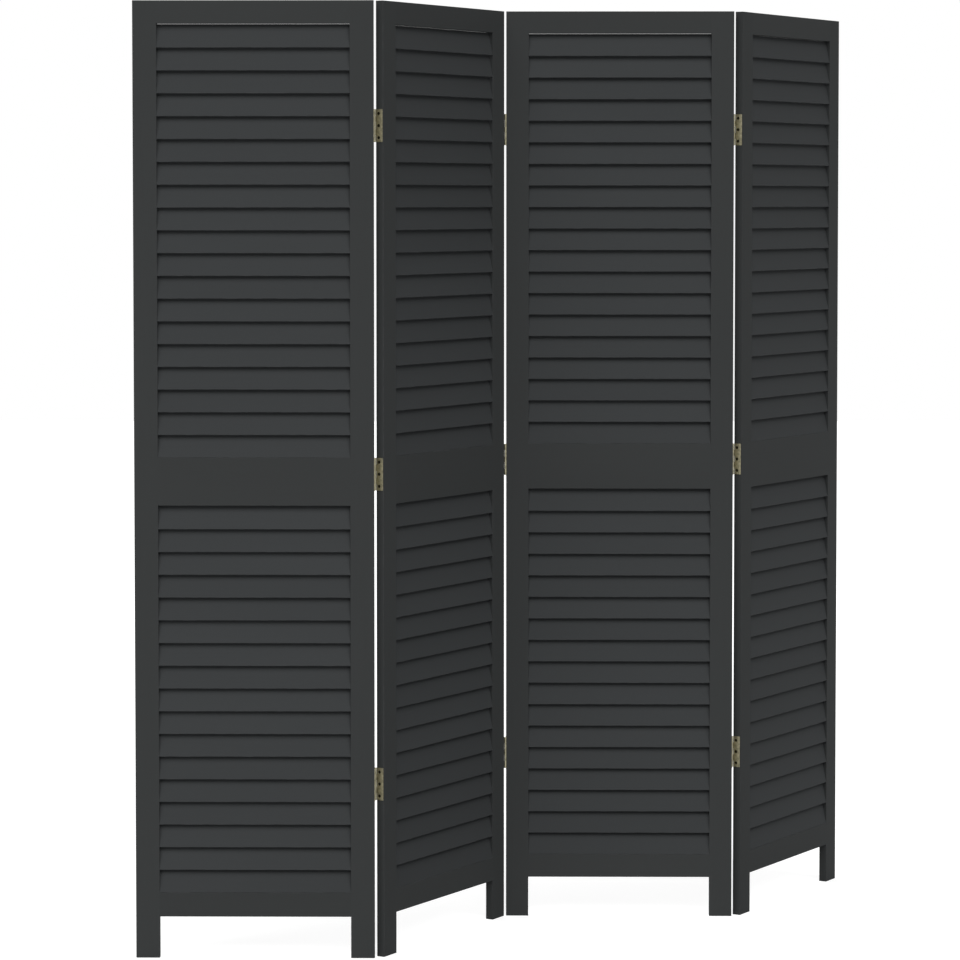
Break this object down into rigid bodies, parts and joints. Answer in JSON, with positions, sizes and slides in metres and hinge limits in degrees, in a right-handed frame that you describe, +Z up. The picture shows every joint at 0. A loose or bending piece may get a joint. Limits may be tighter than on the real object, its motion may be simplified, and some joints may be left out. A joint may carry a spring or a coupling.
{
  "type": "louvred folding screen",
  "caption": "Free-standing zigzag folding screen: painted wooden frames with fixed slanting slats, joined by alternating butt hinges so that it folds flat.",
  "frame": {"origin": "on the floor, under the middle of the standing screen's box", "axes": "+X along the screen to the viewer's right, +Y away from its front, +Z up"},
  "size_m": [1.3116, 0.7648, 1.7],
  "materials": {
    "frame_paint": "satin charcoal grey paint over wood",
    "louvre_paint": "satin charcoal grey paint over thin wooden slats",
    "aged_brass": "antique brass plating, slightly dulled",
    "pin_steel": "antique brass plated steel"
  },
  "bodies": {
    "panel_1": {"panel_1_left_stile": "frame_paint", "panel_1_right_stile": "frame_paint", "panel_1_top_rail": "frame_paint", "panel_1_middle_rail": "frame_paint", "panel_1_bottom_rail": "frame_paint", "panel_1_upper_louvres": "louvre_paint", "panel_1_lower_louvres": "louvre_paint", "hinge_1_2_top_left_leaf": "aged_brass", "hinge_1_2_top_pin": "pin_steel", "hinge_1_2_middle_left_leaf": "aged_brass", "hinge_1_2_middle_pin": "pin_steel", "hinge_1_2_bottom_left_leaf": "aged_brass", "hinge_1_2_bottom_pin": "pin_steel"},
    "panel_2": {"panel_2_left_stile": "frame_paint", "panel_2_right_stile": "frame_paint", "panel_2_top_rail": "frame_paint", "panel_2_middle_rail": "frame_paint", "panel_2_bottom_rail": "frame_paint", "panel_2_upper_louvres": "louvre_paint", "panel_2_lower_louvres": "louvre_paint", "hinge_1_2_top_right_leaf": "aged_brass", "hinge_1_2_middle_right_leaf": "aged_brass", "hinge_1_2_bottom_right_leaf": "aged_brass", "hinge_2_3_top_left_leaf": "aged_brass", "hinge_2_3_top_pin": "pin_steel", "hinge_2_3_middle_left_leaf": "aged_brass", "hinge_2_3_middle_pin": "pin_steel", "hinge_2_3_bottom_left_leaf": "aged_brass", "hinge_2_3_bottom_pin": "pin_steel"},
    "panel_3": {"panel_3_left_stile": "frame_paint", "panel_3_right_stile": "frame_paint", "panel_3_top_rail": "frame_paint", "panel_3_middle_rail": "frame_paint", "panel_3_bottom_rail": "frame_paint", "panel_3_upper_louvres": "louvre_paint", "panel_3_lower_louvres": "louvre_paint", "hinge_2_3_top_right_leaf": "aged_brass", "hinge_2_3_middle_right_leaf": "aged_brass", "hinge_2_3_bottom_right_leaf": "aged_brass", "hinge_3_4_top_left_leaf": "aged_brass", "hinge_3_4_top_pin": "pin_steel", "hinge_3_4_middle_left_leaf": "aged_brass", "hinge_3_4_middle_pin": "pin_steel", "hinge_3_4_bottom_left_leaf": "aged_brass", "hinge_3_4_bottom_pin": "pin_steel"},
    "panel_4": {"panel_4_left_stile": "frame_paint", "panel_4_right_stile": "frame_paint", "panel_4_top_rail": "frame_paint", "panel_4_middle_rail": "frame_paint", "panel_4_bottom_rail": "frame_paint", "panel_4_upper_louvres": "louvre_paint", "panel_4_lower_louvres": "louvre_paint", "hinge_3_4_top_right_leaf": "aged_brass", "hinge_3_4_middle_right_leaf": "aged_brass", "hinge_3_4_bottom_right_leaf": "aged_brass"}
  },
  "joints": [
    {"name": "fold_2_3", "type": "hinge", "parent": "panel_3", "child": "panel_2", "pos_m": [0.00057, -0.00474, 0.863], "axis": [0, 0, 1], "range_deg": [-60, 120]},
    {"name": "fold_1_2", "type": "hinge", "parent": "panel_2", "child": "panel_1", "pos_m": [-0.2296, -0.36537, 0.863], "axis": [0, 0, -1], "range_deg": [-60, 120]},
    {"name": "fold_3_4", "type": "hinge", "parent": "panel_3", "child": "panel_4", "pos_m": [0.42797, 0.01429, 0.863], "axis": [0, 0, 1], "range_deg": [-60, 120]}
  ]
}
